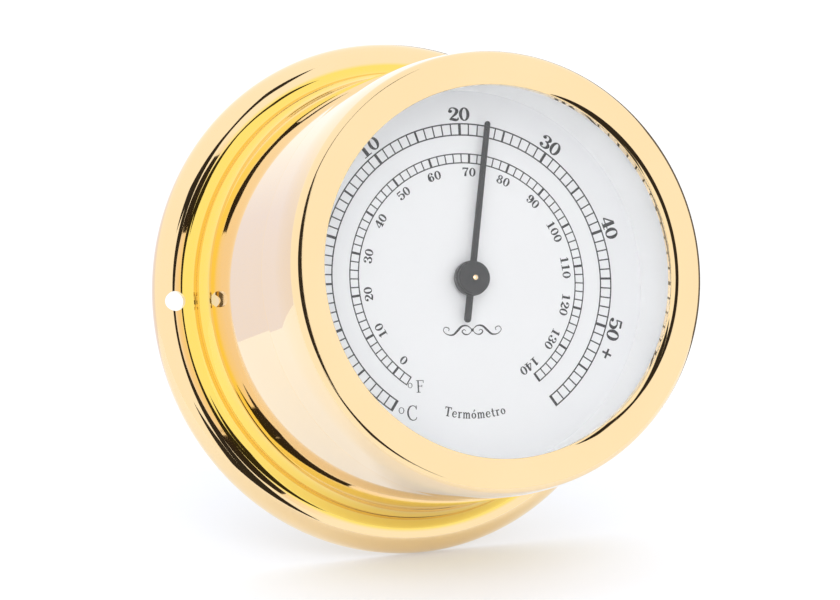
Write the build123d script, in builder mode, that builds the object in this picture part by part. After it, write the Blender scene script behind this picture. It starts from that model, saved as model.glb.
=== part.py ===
"""Marine dial thermometer: a spun brass case with a wall flange, and a bimetal coil that turns a pointer.

Millimetres. +Z is up (the top of the dial) and the dial faces -Y. The origin is the middle of the case's
back edge, which stands on the wall, so a depth here is a distance forward from the wall, along -Y.
"""

from build123d import *
import os
from math import asin, atan2, cos, degrees, radians, sin, sqrt

os.makedirs("parts", exist_ok=True)

# ---------------------------------------------------------------- driving dimensions
flange_radius = 47.5  # largest radius of the case
drum_radius = 39.9  # outside, where the cove runs into the drum
drum_front_radius = 39.55  # the drum narrows to this by the bezel
sheet = 1.2  # thickness of the spun shell

# wall flange: a round rim, a flat crown, a hollow and a short riser, up to the ridge of the cove
rim_arc = 3.4
rim_centre_depth = 1.75
hollow_arc = 2.4
riser_radius = 41.1
ridge_depth = 9.0
ridge_rounding = 0.25
cove_end_depth = 12.5
bore_taper = 3.5  # the bore narrows over this depth past the cove

# front of the drum and the bezel
neck_radius = 37.5  # turned-down end of the drum that the bezel screws on
shoulder_depth = 38.0  # the bezel's rear edge stands here
neck_end_depth = 46.0
skirt_end_depth = 44.5  # the bezel is as wide as the drum up to here
bezel_opening = 33.0
# the bezel's outer face, from its skirt to the lip: arcs that meet in tangents, each with its
# radius and the lean of its last normal from straight forward
skirt_arc = 46.9
bezel_arcs = [(skirt_arc, 82), (1.75, 30), (0.5, 6), (30.75, 0), (3.65, -26.5), (0.35, -75)]

# glazing and dial
glass_depth = 50.7  # front face
glass_radius = 36.2
glass_thickness = 2.0
gasket_thickness = 0.8
gasket_width = 1.8
dial_radius = 36.1
dial_thickness = 0.8
dial_depth = 36.2  # the printed face
dial_hole_radius = 1.6
spacer_radius_at_dial = 34.0
spacer_radius_at_glass = 34.6
seat_thickness = 2.2
seat_width = 3.75

# wall screws
wall_hole_radius = 1.8
wall_hole_circle = 44.3
wall_holes = 2

# movement
front_plate_depth = 31.2  # rear face of each plate
rear_plate_depth = 19.6
plate_thickness = 1.2
plate_radius = 17.0
plate_rim_width = 4.5
plate_spoke_width = 4.0
plate_hub_radius = 4.5
posts = 3  # pillars, feet between them, and back cover screws
post_circle = 14.6
thread_radius = 0.9
thread_end = 0.4  # of a dial foot, past its nut
pillar_radius = 1.6
pillar_first_angle = 30
pillar_thread_length = 4.0
pillar_screw_head = 1.0
pillar_screw_head_radius = 1.7
screw_slot = 0.5
foot_radius = 1.7
foot_first_angle = 90
nut_across_flats = 3.6
nut_thickness = 1.2

# arbor and pointer
arbor_radius = 0.75
arbor_tip_radius = 0.475
arbor_rear_depth = 18.7
arbor_front_depth = 40.1
arbor_shoulder_depth = 37.2  # the tip begins here
running_gap = 0.04  # radial, between a pivot and its bush
hub_radius = 1.25
pointer_depth = 37.9  # rear face of the needle
pointer_thickness = 0.45
pointer_reach = 28.6
pointer_tail = 8.0
pointer_width_at_hub = 1.2
pointer_width_at_tip = 1.0
pointer_tail_width = 1.25
pointer_disc_radius = 3.15
pointer_disc_rear_depth = 37.3
pointer_disc_front_depth = 38.6
cap_radius = 2.95
cap_thickness = 1.0
cap_chamfer = 0.2
rest_angle = 80.4  # of the needle, counter-clockwise from +X: 22.7 degrees C

# bimetal coil
strip = 0.4
strip_height = 5.0
coil_depth = 23.4
coil_pitch = 1.4
coil_inner_radius = 2.6
coil_half_turns = 12
coil_tail = 2.9  # straight outer end
coil_tab_root = 1.0  # the inner end reaches this near the axis
collet_radius = 1.7
stud_radius = 1.2
stud_shank_radius = 0.8

# bushes and adjuster
bush_seat_radius = 1.9  # in its plate
bush_collar_radius = 2.6
bush_collar = 0.6
bush_journal_radius = 2.4  # the adjuster turns on this
front_bush_rear_depth = 30.7
collar_radius = 1.5
collar_rear_depth = 29.6
collar_front_depth = 30.4
adjuster_thickness = 1.0
adjuster_gap = 0.25  # between the arm and what it turns beside
adjuster_ring_radius = 4.2
adjuster_width = 3.0
adjuster_reach = 20.5
adjuster_angle = -60
adjuster_tab_depth = 17.4
clip_radius = 3.4
clip_thickness = 0.5

# back of the case
back_ring_depth = 17.0
back_ring_thickness = 2.5
back_ring_width = 4.2
cover_thickness = 1.2
cover_radius = 38.05
vent_radius = 1.6
vents = 16
vent_circle = 27.0
slot_width = 3.2  # the arc slot that the adjuster is reached through
slot_sweep = 32
back_screw_circle = 35.95
back_screw_radius = 1.25
back_screw_head_radius = 2.1
back_screw_head = 1.6

# ---------------------------------------------------------------- worked out
drum_bore = drum_front_radius - sheet
neck_bore = neck_radius - sheet
glass_rear = glass_depth - glass_thickness
gasket_rear = glass_rear - gasket_thickness
dial_rear = dial_depth - dial_thickness
seat_rear = dial_rear - seat_thickness
rim_centre_radius = flange_radius - rim_arc
crown_depth = rim_centre_depth + rim_arc
hollow_centre_radius = riser_radius + hollow_arc
hollow_centre_depth = crown_depth + hollow_arc
# the cove's arc passes through the ridge and meets the drum's cone in a tangent
drum_lean = atan2(drum_radius - drum_front_radius, shoulder_depth - cove_end_depth)
cove_rise = riser_radius - drum_radius
cove_run = cove_end_depth - ridge_depth
cove_arc = (cove_rise**2 + cove_run**2) / (2 * (cove_rise * cos(drum_lean) - cove_run * sin(drum_lean)))
cove_centre_radius = drum_radius + cove_arc * cos(drum_lean)
cove_centre_depth = cove_end_depth + cove_arc * sin(drum_lean)

# half sections are drawn with radius across and depth up
section = Plane(origin=(0, 0, 0), x_dir=(1, 0, 0), z_dir=(0, 0, -1))
axle = Axis((0, 0, 0), (0, -1, 0))


def front_plane(depth, angle=0):
    """A plane across the axis, seen from the front, with its x turned this far from +X towards +Z."""
    along = (cos(radians(angle)), 0, sin(radians(angle)))
    return Plane(origin=(0, -depth, 0), x_dir=along, z_dir=(0, -1, 0))


def on_arc(radius, depth, arc, angle):
    """The point of an arc's circle whose outward normal leans this many degrees from straight forward."""
    return (radius + arc * sin(radians(angle)), depth + arc * cos(radians(angle)))


def save(piece, name):
    piece.part.label = name
    export_step(piece.part, f"parts/{name}.step")


def revolved_rectangle(inner, outer, rear, front):
    """A plain turned ring between two radii and two depths."""
    with BuildPart() as ring:
        with BuildSketch(section):
            with Locations(((inner + outer) / 2, (rear + front) / 2)):
                Rectangle(outer - inner, front - rear)
        revolve(axis=axle)
    return ring


def arc_between(centre, arc, first_lean, last_lean):
    """An arc about a centre, from one lean of its normal to another."""
    leans = (first_lean, (first_lean + last_lean) / 2, last_lean)
    return ThreePointArc(*[on_arc(*centre, arc, lean) for lean in leans])


# ---------------------------------------------------------------- case
def case_outline(thickness):
    """The shell's wall from the back edge to the front of the cove, this far inside its outer face."""
    rim = (rim_centre_radius, rim_centre_depth)
    hollow = (hollow_centre_radius, hollow_centre_depth)
    cove = (cove_centre_radius, cove_centre_depth)
    rim_radius = rim_arc - thickness
    cove_radius = cove_arc + thickness
    back_lean = 90 + degrees(asin(rim_centre_depth / rim_radius))
    wall = riser_radius - thickness
    ridge_lean = degrees(asin((cove_centre_radius - wall) / cove_radius))
    edge = arc_between(rim, rim_radius, back_lean, 0)
    hollow_edge = arc_between(hollow, hollow_arc + thickness, 180, 270)
    Line(edge @ 1, hollow_edge @ 0)
    cove_edge = arc_between(cove, cove_radius, 180 + ridge_lean, 270 - degrees(drum_lean))
    riser = Line(hollow_edge @ 1, cove_edge @ 0)
    return edge @ 0, cove_edge @ 1, riser


inner_step_depth = shoulder_depth - sheet
with BuildPart() as case_shell:
    with BuildSketch(section):
        with BuildLine():
            outer_back, outer_front, outer_riser = case_outline(0)
            inner_back, inner_front, _ = case_outline(sheet)
            Polyline(
                outer_front,
                (drum_front_radius, shoulder_depth),
                (neck_radius, shoulder_depth),
                (neck_radius, neck_end_depth),
                (neck_bore, neck_end_depth),
                (neck_bore, inner_step_depth),
                (drum_bore, inner_step_depth - sheet),
                (drum_bore, cove_end_depth + bore_taper),
                inner_front,
            )
            Line(outer_back, inner_back)
        make_face()
        ridge = vertices().sort_by_distance(outer_riser @ 1)[0]
        fillet(ridge, radius=ridge_rounding)
    revolve(axis=axle)
    with BuildSketch(front_plane(0)):
        with PolarLocations(wall_hole_circle, wall_holes):
            Circle(wall_hole_radius)
    extrude(amount=ridge_depth, mode=Mode.SUBTRACT)
save(case_shell, "case_shell")

# the bezel's arcs follow one another, each centre on the last normal of the arc before
with BuildPart() as bezel:
    with BuildSketch(section):
        with BuildLine():
            centre = (drum_front_radius - skirt_arc, skirt_end_depth)
            lean = 90
            arc = skirt_arc
            for next_arc, last_lean in bezel_arcs:
                centre = on_arc(*centre, arc - next_arc, lean)
                face = arc_between(centre, next_arc, lean, last_lean)
                lean, arc = last_lean, next_arc
            Polyline(
                face @ 1,
                (bezel_opening, (face @ 1).Y - 0.1),
                (bezel_opening, glass_depth),
                (glass_radius, glass_depth),
                (glass_radius, neck_end_depth),
                (neck_radius, neck_end_depth),
                (neck_radius, shoulder_depth),
                (drum_front_radius, shoulder_depth),
                (drum_front_radius, skirt_end_depth),
            )
        make_face()
    revolve(axis=axle)
save(bezel, "bezel")

# ---------------------------------------------------------------- glass, gasket and dial
with BuildPart() as glass:
    with BuildSketch(front_plane(glass_rear)):
        Circle(glass_radius)
    extrude(amount=glass_thickness)
save(glass, "glass")

gasket_bore = glass_radius - gasket_width
save(revolved_rectangle(gasket_bore, glass_radius, gasket_rear, glass_rear), "glass_gasket")

with BuildPart() as spacer_ring:
    with BuildSketch(section):
        with BuildLine():
            Polyline(
                (spacer_radius_at_dial, dial_depth),
                (dial_radius, dial_depth),
                (dial_radius, gasket_rear),
                (spacer_radius_at_glass, gasket_rear),
                (spacer_radius_at_dial, dial_depth),
            )
        make_face()
    revolve(axis=axle)
save(spacer_ring, "spacer_ring")

with BuildPart() as dial:
    with BuildSketch(front_plane(dial_rear)):
        Circle(dial_radius)
        Circle(dial_hole_radius, mode=Mode.SUBTRACT)
    extrude(amount=dial_thickness)
save(dial, "dial")

save(revolved_rectangle(drum_bore - seat_width, drum_bore, seat_rear, dial_rear), "dial_seat_ring")

# ---------------------------------------------------------------- movement frame
front_plate_front = front_plate_depth + plate_thickness
rear_plate_front = rear_plate_depth + plate_thickness


def movement_plate(depth, hole_angles):
    """A rim, three spokes and a hub cut from one plate, with a hole for the bush and for each post."""
    with BuildPart() as plate:
        with BuildSketch(front_plane(depth)):
            Circle(plate_radius)
            Circle(plate_radius - plate_rim_width, mode=Mode.SUBTRACT)
            spoke = plate_radius - plate_rim_width / 2
            with PolarLocations(spoke / 2, posts, pillar_first_angle):
                Rectangle(spoke, plate_spoke_width)
            Circle(plate_hub_radius)
            Circle(bush_seat_radius, mode=Mode.SUBTRACT)
            for first_angle in hole_angles:
                with PolarLocations(post_circle, posts, first_angle):
                    Circle(thread_radius, mode=Mode.SUBTRACT)
        extrude(amount=plate_thickness)
    return plate


def screw_slots(depth, circle, first_angle, width):
    """The screwdriver slots of a circle of screws, drawn on their heads at this depth."""
    with BuildSketch(front_plane(depth)) as slots:
        with PolarLocations(circle, posts, first_angle):
            Rectangle(width, screw_slot)
    return slots.sketch


def stepped_posts(first_angle, steps, bore=()):
    """One turned post at each place on the circle: steps and an optional bore of (radius, rear, front)."""
    with BuildPart() as group:
        for radius, rear, front in steps + bore:
            with BuildSketch(front_plane(rear)):
                with PolarLocations(post_circle, posts, first_angle):
                    Circle(radius)
            cut = (radius, rear, front) in bore
            extrude(amount=front - rear, mode=Mode.SUBTRACT if cut else Mode.ADD)
    return group


save(movement_plate(front_plate_depth, (pillar_first_angle, foot_first_angle)), "front_plate")
save(movement_plate(rear_plate_depth, (pillar_first_angle,)), "rear_plate")

pillar_steps = (
    (pillar_radius, rear_plate_front, front_plate_depth),
    (thread_radius, front_plate_depth, front_plate_front),
)
pillar_bore = ((thread_radius, rear_plate_front, rear_plate_front + pillar_thread_length),)
save(stepped_posts(pillar_first_angle, pillar_steps, pillar_bore), "movement_pillars")

head_rear = rear_plate_depth - pillar_screw_head
screw_steps = (
    (pillar_screw_head_radius, head_rear, rear_plate_depth),
    (thread_radius, rear_plate_depth, rear_plate_front + pillar_thread_length),
)
with BuildPart() as pillar_screws:
    add(stepped_posts(pillar_first_angle, screw_steps).part)
    slots = screw_slots(head_rear, post_circle, pillar_first_angle, 2 * pillar_screw_head_radius)
    extrude(slots, amount=pillar_screw_head / 2, mode=Mode.SUBTRACT)
save(pillar_screws, "pillar_screws")

foot_steps = (
    (foot_radius, front_plate_front, dial_rear),
    (thread_radius, front_plate_depth - nut_thickness - thread_end, front_plate_front),
)
save(stepped_posts(foot_first_angle, foot_steps), "dial_feet")

with BuildPart() as dial_foot_nuts:
    with BuildSketch(front_plane(front_plate_depth - nut_thickness)):
        with PolarLocations(post_circle, posts, foot_first_angle):
            RegularPolygon(nut_across_flats / 2, 6, major_radius=False)
            Circle(thread_radius, mode=Mode.SUBTRACT)
    extrude(amount=nut_thickness)
save(dial_foot_nuts, "dial_foot_nuts")

# ---------------------------------------------------------------- bushes and adjuster
bush_bore = arbor_radius + running_gap


def bush(steps):
    """A turned bush with the arbor's running bore: steps of (radius, rear depth, front depth)."""
    with BuildPart() as turned:
        for radius, rear, front in steps:
            with BuildSketch(front_plane(rear)):
                Circle(radius)
                Circle(bush_bore, mode=Mode.SUBTRACT)
            extrude(amount=front - rear)
    return turned


front_bush_steps = (
    (bush_seat_radius, front_bush_rear_depth, front_plate_front),
    (bush_collar_radius, front_plate_front, front_plate_front + bush_collar),
)
save(bush(front_bush_steps), "front_bush")

adjuster_rear = rear_plate_front + adjuster_gap
adjuster_front = adjuster_rear + adjuster_thickness
clip_rear = adjuster_front + adjuster_gap
clip_front = clip_rear + clip_thickness
rear_bush_steps = (
    (bush_collar_radius, rear_plate_depth - bush_collar, rear_plate_depth),
    (bush_seat_radius, rear_plate_depth, rear_plate_front),
    (bush_journal_radius, rear_plate_front, clip_front),
)
save(bush(rear_bush_steps), "rear_bush")
save(revolved_rectangle(bush_journal_radius, clip_radius, clip_rear, clip_front), "adjuster_clip")

# the coil's outer end runs straight along +Z into the stud's saw cut
coil_last_radius = coil_inner_radius + (coil_half_turns - 1) * coil_pitch / 2
coil_end = coil_last_radius + coil_pitch / 4
stud_height = coil_tail - stud_radius
stud_reach = sqrt(coil_end**2 + stud_height**2)
stud_angle = degrees(asin(stud_height / stud_reach))
with BuildPart() as adjuster_arm:
    with BuildSketch(front_plane(adjuster_rear)):
        Circle(adjuster_ring_radius)
        for reach, angle in ((stud_reach, stud_angle), (adjuster_reach, adjuster_angle)):
            with PolarLocations(reach / 2, 1, angle):
                Rectangle(reach, adjuster_width)
            with PolarLocations(reach, 1, angle):
                Circle(adjuster_width / 2)
        Circle(bush_journal_radius + running_gap, mode=Mode.SUBTRACT)
        with PolarLocations(stud_reach, 1, stud_angle):
            Circle(stud_shank_radius, mode=Mode.SUBTRACT)
    extrude(amount=adjuster_thickness)
    with BuildSketch(front_plane(adjuster_tab_depth)):
        with PolarLocations(adjuster_reach, 1, adjuster_angle):
            Rectangle(adjuster_thickness, adjuster_width - 2 * adjuster_gap)
    extrude(amount=adjuster_rear - adjuster_tab_depth)
save(adjuster_arm, "adjuster_arm")

with BuildPart() as coil_stud:
    with BuildSketch(front_plane(adjuster_rear)):
        with PolarLocations(stud_reach, 1, stud_angle):
            Circle(stud_shank_radius)
    extrude(amount=adjuster_thickness)
    with BuildSketch(front_plane(adjuster_front)):
        with PolarLocations(stud_reach, 1, stud_angle):
            Circle(stud_radius)
    extrude(amount=coil_depth + strip_height - adjuster_front)
    with BuildSketch(front_plane(coil_depth)):
        with Locations((coil_end, stud_height)):
            Rectangle(strip, 3 * stud_radius)
    extrude(amount=strip_height, mode=Mode.SUBTRACT)
save(coil_stud, "coil_stud")

# a two-centre spiral: each half turn is an arc, half a pitch wider than the last
with BuildPart() as bimetal_coil:
    with BuildSketch(front_plane(coil_depth)):
        for turn in range(coil_half_turns):
            side = 1 if turn % 2 else -1
            middle = (side * coil_pitch / 4, 0)
            radius = coil_inner_radius + turn * coil_pitch / 2
            start = 180 if turn % 2 else 0
            with BuildLine():
                inside = CenterArc(middle, radius - strip / 2, start, 180)
                outside = CenterArc(middle, radius + strip / 2, start, 180)
                Line(inside @ 0, outside @ 0)
                Line(inside @ 1, outside @ 1)
            make_face()
        with Locations((coil_end, coil_tail / 2)):
            Rectangle(strip, coil_tail)
        tab = coil_inner_radius - coil_pitch / 4 + strip / 2 - coil_tab_root
        with Locations((coil_tab_root + tab / 2, -strip / 2)):
            Rectangle(tab, strip)
    extrude(amount=strip_height)
save(bimetal_coil, "bimetal_coil")

# ---------------------------------------------------------------- arbor and pointer
with BuildPart() as arbor:
    with BuildSketch(front_plane(arbor_rear_depth)):
        Circle(arbor_radius)
    extrude(amount=arbor_shoulder_depth - arbor_rear_depth)
    with BuildSketch(front_plane(arbor_shoulder_depth)):
        Circle(arbor_tip_radius)
    extrude(amount=arbor_front_depth - arbor_shoulder_depth)
save(arbor, "arbor")

with BuildPart() as coil_collet:
    with BuildSketch(front_plane(coil_depth - adjuster_gap)):
        Circle(collet_radius)
        Circle(arbor_radius, mode=Mode.SUBTRACT)
    extrude(amount=strip_height + 2 * adjuster_gap)
    with BuildSketch(front_plane(coil_depth)):
        with Locations(((coil_tab_root + collet_radius) / 2 + strip, -strip / 2)):
            Rectangle(collet_radius - coil_tab_root + 2 * strip, strip)
    extrude(amount=strip_height, mode=Mode.SUBTRACT)
save(coil_collet, "coil_collet")

save(revolved_rectangle(arbor_radius, collar_radius, collar_rear_depth, collar_front_depth), "thrust_collar")
pointer_hub = revolved_rectangle(
    arbor_tip_radius, hub_radius, arbor_shoulder_depth, pointer_disc_front_depth
)
save(pointer_hub, "pointer_hub")

with BuildPart() as pointer:
    with BuildSketch(front_plane(pointer_disc_rear_depth)):
        Circle(pointer_disc_radius)
    extrude(amount=pointer_disc_front_depth - pointer_disc_rear_depth)
    with BuildSketch(front_plane(pointer_depth, rest_angle)):
        with BuildLine():
            half_hub = pointer_width_at_hub / 2
            half_tip = pointer_width_at_tip / 2
            Polyline(
                (pointer_reach - half_tip, half_tip),
                (0, half_hub),
                (0, -half_hub),
                (pointer_reach - half_tip, -half_tip),
            )
            ThreePointArc(
                (pointer_reach - half_tip, -half_tip),
                (pointer_reach, 0),
                (pointer_reach - half_tip, half_tip),
            )
        make_face()
        with Locations((-pointer_tail / 2, 0)):
            SlotOverall(pointer_tail, pointer_tail_width)
    extrude(amount=pointer_thickness)
    with BuildSketch(front_plane(pointer_disc_rear_depth)):
        Circle(hub_radius)
    extrude(amount=pointer_disc_front_depth - pointer_disc_rear_depth, mode=Mode.SUBTRACT)
save(pointer, "pointer")

cap_front = pointer_disc_front_depth + cap_thickness
with BuildPart() as pointer_cap:
    with BuildSketch(front_plane(pointer_disc_front_depth)):
        Circle(cap_radius)
        Circle(arbor_tip_radius, mode=Mode.SUBTRACT)
    extrude(amount=cap_thickness)
    rim = faces().sort_by(Axis.Y)[0].outer_wire().edges()
    chamfer(rim, length=cap_chamfer)
save(pointer_cap, "pointer_cap")

# ---------------------------------------------------------------- back of the case
cover_rear = back_ring_depth - cover_thickness
with BuildPart() as back_ring:
    with BuildSketch(front_plane(back_ring_depth)):
        Circle(drum_bore)
        Circle(drum_bore - back_ring_width, mode=Mode.SUBTRACT)
        with PolarLocations(back_screw_circle, posts):
            Circle(back_screw_radius, mode=Mode.SUBTRACT)
    extrude(amount=back_ring_thickness)
save(back_ring, "back_ring")

# drawn outside the sketch, which would turn an arc of its own over
slot_arc = CenterArc((0, 0), adjuster_reach, adjuster_angle - slot_sweep / 2, slot_sweep)
with BuildPart() as back_cover:
    with BuildSketch(front_plane(cover_rear)):
        Circle(cover_radius)
        with PolarLocations(back_screw_circle, posts):
            Circle(back_screw_radius, mode=Mode.SUBTRACT)
        with PolarLocations(vent_circle, vents):
            Circle(vent_radius, mode=Mode.SUBTRACT)
        with PolarLocations(vent_circle / 3, vents // 2):
            Circle(vent_radius, mode=Mode.SUBTRACT)
        SlotArc(slot_arc, slot_width, mode=Mode.SUBTRACT)
    extrude(amount=cover_thickness)
save(back_cover, "back_cover")

with BuildPart() as back_cover_screws:
    with BuildSketch(front_plane(cover_rear - back_screw_head)):
        with PolarLocations(back_screw_circle, posts):
            Circle(back_screw_head_radius)
    extrude(amount=back_screw_head)
    with BuildSketch(front_plane(cover_rear)):
        with PolarLocations(back_screw_circle, posts):
            Circle(back_screw_radius)
    extrude(amount=cover_thickness + back_ring_thickness)
    slots = screw_slots(cover_rear - back_screw_head, back_screw_circle, 0, 2 * back_screw_head_radius)
    extrude(slots, amount=back_screw_head / 2, mode=Mode.SUBTRACT)
save(back_cover_screws, "back_cover_screws")
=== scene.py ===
"""Visual model of a marine dial thermometer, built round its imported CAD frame.

Outlines are written in millimetres as (radius, depth), where depth is the distance forward from the wall,
along -Y. The dial's print is written in millimetres as (x, z), seen from the front.
"""

from math import asin, atan2, cos, degrees, hypot, pi, radians, sin, sqrt, tan

import bmesh
import bpy
from mathutils import Matrix, Vector
from mathutils.geometry import delaunay_2d_cdt


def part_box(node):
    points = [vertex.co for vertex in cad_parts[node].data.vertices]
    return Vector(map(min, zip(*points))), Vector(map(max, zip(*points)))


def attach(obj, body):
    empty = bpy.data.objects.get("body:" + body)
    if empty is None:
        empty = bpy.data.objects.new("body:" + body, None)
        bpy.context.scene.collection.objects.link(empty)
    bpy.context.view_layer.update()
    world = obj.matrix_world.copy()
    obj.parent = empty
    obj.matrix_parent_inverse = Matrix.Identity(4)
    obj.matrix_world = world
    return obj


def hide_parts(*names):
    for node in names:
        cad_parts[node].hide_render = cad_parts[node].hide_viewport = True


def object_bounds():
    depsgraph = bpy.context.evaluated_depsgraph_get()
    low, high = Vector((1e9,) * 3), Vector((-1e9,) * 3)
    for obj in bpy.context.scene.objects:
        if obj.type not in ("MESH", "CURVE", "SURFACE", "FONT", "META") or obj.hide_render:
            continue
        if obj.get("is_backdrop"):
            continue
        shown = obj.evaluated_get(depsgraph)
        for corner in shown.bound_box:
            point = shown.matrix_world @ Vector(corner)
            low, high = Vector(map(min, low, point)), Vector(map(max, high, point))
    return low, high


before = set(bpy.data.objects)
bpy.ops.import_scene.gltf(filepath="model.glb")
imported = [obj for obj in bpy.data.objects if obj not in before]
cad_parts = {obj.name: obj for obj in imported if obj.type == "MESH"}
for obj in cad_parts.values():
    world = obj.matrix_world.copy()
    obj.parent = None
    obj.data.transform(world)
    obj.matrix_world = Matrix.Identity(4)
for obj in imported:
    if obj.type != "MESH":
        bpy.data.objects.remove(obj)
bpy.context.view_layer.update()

MM = 0.001
SAME_POINT = 1e-4  # millimetres apart at which two points of an outline or a letter are one

# ---------------------------------------------------------------- the part's own dimensions
FLANGE_RADIUS = 47.5
DRUM_RADIUS = 39.9
DRUM_FRONT_RADIUS = 39.55
SHEET = 1.2
RIM_ARC = 3.4
RIM_CENTRE_DEPTH = 1.75
HOLLOW_ARC = 2.4
RISER_RADIUS = 41.1
RIDGE_DEPTH = 9.0
RIDGE_ROUNDING = 0.25
COVE_END_DEPTH = 12.5
NECK_RADIUS = 37.5
SHOULDER_DEPTH = 38.0
NECK_END_DEPTH = 46.0
SKIRT_END_DEPTH = 44.5
EDGE_BREAK = 0.04  # at the seam
BORE_TAPER = 3.5
BEZEL_OPENING = 33.0
SKIRT_ARC = 46.9
BEZEL_ARCS = ((SKIRT_ARC, 82), (1.75, 30), (0.5, 6), (30.75, 0), (3.65, -26.5), (0.35, -75))
WALL_HOLE_RADIUS = 1.8
WALL_HOLE_CIRCLE = 44.3
GLASS_DEPTH = -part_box("glass")[0].y / MM
GLASS_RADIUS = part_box("glass")[1].x / MM
DIAL_DEPTH = -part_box("dial")[0].y / MM
REST_ANGLE = radians(80.4)  # of the needle, from +X towards +Z
NEEDLE_REAR, NEEDLE_FRONT, NEEDLE_BEVEL = 37.9, 38.35, 0.1
NEEDLE_REACH, NEEDLE_TAIL = 28.6, 8.0
NEEDLE_TIP_WIDTH, NEEDLE_HUB_WIDTH, NEEDLE_TAIL_WIDTH = 1.0, 1.2, 1.25
DISC_RADIUS, DISC_REAR, DISC_FRONT = 3.15, 37.3, 38.6
HUB_RADIUS = 1.25
CAP_RADIUS, CAP_REAR, CAP_FRONT = 2.95, 38.6, 39.6
ARBOR_REAR, ARBOR_SHOULDER, ARBOR_FRONT = 18.7, 37.2, 40.1
ARBOR_RADIUS, ARBOR_TIP_RADIUS = 0.75, 0.475

# worked out from them
RIM_CENTRE_RADIUS = FLANGE_RADIUS - RIM_ARC
HOLLOW_CENTRE_RADIUS = RISER_RADIUS + HOLLOW_ARC
HOLLOW_CENTRE_DEPTH = RIM_CENTRE_DEPTH + RIM_ARC + HOLLOW_ARC
DRUM_LEAN = atan2(DRUM_RADIUS - DRUM_FRONT_RADIUS, SHOULDER_DEPTH - COVE_END_DEPTH)
COVE_RISE = RISER_RADIUS - DRUM_RADIUS
COVE_RUN = COVE_END_DEPTH - RIDGE_DEPTH
COVE_ARC = (COVE_RISE**2 + COVE_RUN**2) / (2 * (COVE_RISE * cos(DRUM_LEAN) - COVE_RUN * sin(DRUM_LEAN)))
COVE_CENTRE_RADIUS = DRUM_RADIUS + COVE_ARC * cos(DRUM_LEAN)
COVE_CENTRE_DEPTH = COVE_END_DEPTH + COVE_ARC * sin(DRUM_LEAN)


# ---------------------------------------------------------------- turned pieces
class Outline:
    """A half section drawn as runs of straight and round lines, with the material on the left of each."""

    def __init__(self, radius, depth):
        self.points = [(radius, depth)]
        self.runs = []  # between points: (start, end) where straight, else (centre, sign of the normal)

    def line(self, *ends, pieces=1):
        for end in ends:
            start = self.points[-1]
            for i in range(1, pieces + 1):
                self.points.append(between(start, end, i / pieces))
                self.runs.append((start, end))

    def arc(self, centre, radius, first_lean, last_lean, step=4.0):
        """An arc from one lean of its radius to another, in degrees from straight forward."""
        pieces = max(2, round(abs(last_lean - first_lean) / step))
        first = on_arc(centre, radius, first_lean)
        if not self.is_at(first):
            self.line(first)
        sign = 1 if last_lean < first_lean else -1
        for i in range(1, pieces + 1):
            lean = first_lean + (last_lean - first_lean) * i / pieces
            self.points.append(on_arc(centre, radius, lean))
            self.runs.append((centre, sign))

    def is_at(self, point):
        """Whether the line has come to this point."""
        return hypot(point[0] - self.points[-1][0], point[1] - self.points[-1][1]) <= SAME_POINT

    def close(self):
        if not self.is_at(self.points[0]):
            self.line(self.points[0])
        return self


def between(start, end, share):
    return (start[0] + (end[0] - start[0]) * share, start[1] + (end[1] - start[1]) * share)


def on_arc(centre, radius, lean):
    return (centre[0] + radius * sin(radians(lean)), centre[1] + radius * cos(radians(lean)))


def outward(run, radius, depth):
    """The normal (across, forward) that a run's surface has at this point."""
    if isinstance(run[1], tuple):
        (r0, d0), (r1, d1) = run
        across, forward = d1 - d0, -(r1 - r0)
    else:
        (r0, d0), sign = run
        across, forward = sign * (radius - r0), sign * (depth - d0)
    size = hypot(across, forward) or 1
    return across / size, forward / size


def new_object(name, data):
    ob = bpy.data.objects.new(name, data)
    bpy.context.scene.collection.objects.link(ob)
    return ob


def turned(name, outline, segments=256, holes=()):
    """Revolves a closed outline about the case's axis, with exact normals. holes are (x, z, radius)."""
    points = outline.points[:-1]
    verts, rows = [], []
    for k in range(segments):
        a = 2 * pi * k / segments
        row = []
        for i, (r, d) in enumerate(points):
            if r < 1e-9 and rows:
                row.append(rows[0][i])
            else:
                row.append(len(verts))
                verts.append((r * cos(a) * MM, -d * MM, r * sin(a) * MM))
        rows.append(row)
    faces, tags = [], []
    for k in range(segments):
        here, after = rows[k], rows[(k + 1) % segments]
        for i in range(len(points)):
            j = (i + 1) % len(points)
            face = list(dict.fromkeys((after[i], after[j], here[j], here[i])))
            if len(face) > 2:
                faces.append(face)
                tags.append(i + 1)
    mesh = bpy.data.meshes.new(name)
    mesh.from_pydata(verts, [], faces)
    mesh.attributes.new("run", "INT", "FACE").data.foreach_set("value", tags)
    ob = new_object(name, mesh)
    if holes:
        bore(ob, holes)
    set_normals(ob.data, outline.runs, holes)
    return ob


def bore(ob, holes, length=40, segments=64):
    """Cuts round holes along Y through an object."""
    cutters = []
    for x, z, radius in holes:
        bm = bmesh.new()
        place = Matrix.Translation((x * MM, 0, z * MM)) @ Matrix.Rotation(pi / 2, 4, "X")
        size = {"radius1": radius * MM, "radius2": radius * MM, "depth": length * MM}
        bmesh.ops.create_cone(bm, cap_ends=True, segments=segments, matrix=place, **size)
        mesh = bpy.data.meshes.new("cutter")
        bm.to_mesh(mesh)
        bm.free()
        mesh.attributes.new("run", "INT", "FACE")
        cutters.append(new_object("cutter", mesh))
        cut = ob.modifiers.new("cut", "BOOLEAN")
        cut.operation, cut.solver, cut.object = "DIFFERENCE", "EXACT", cutters[-1]
    cut_mesh = bpy.data.meshes.new_from_object(ob.evaluated_get(bpy.context.evaluated_depsgraph_get()))
    ob.modifiers.clear()
    ob.data = cut_mesh
    for cutter in cutters:
        bpy.data.objects.remove(cutter)


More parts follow.
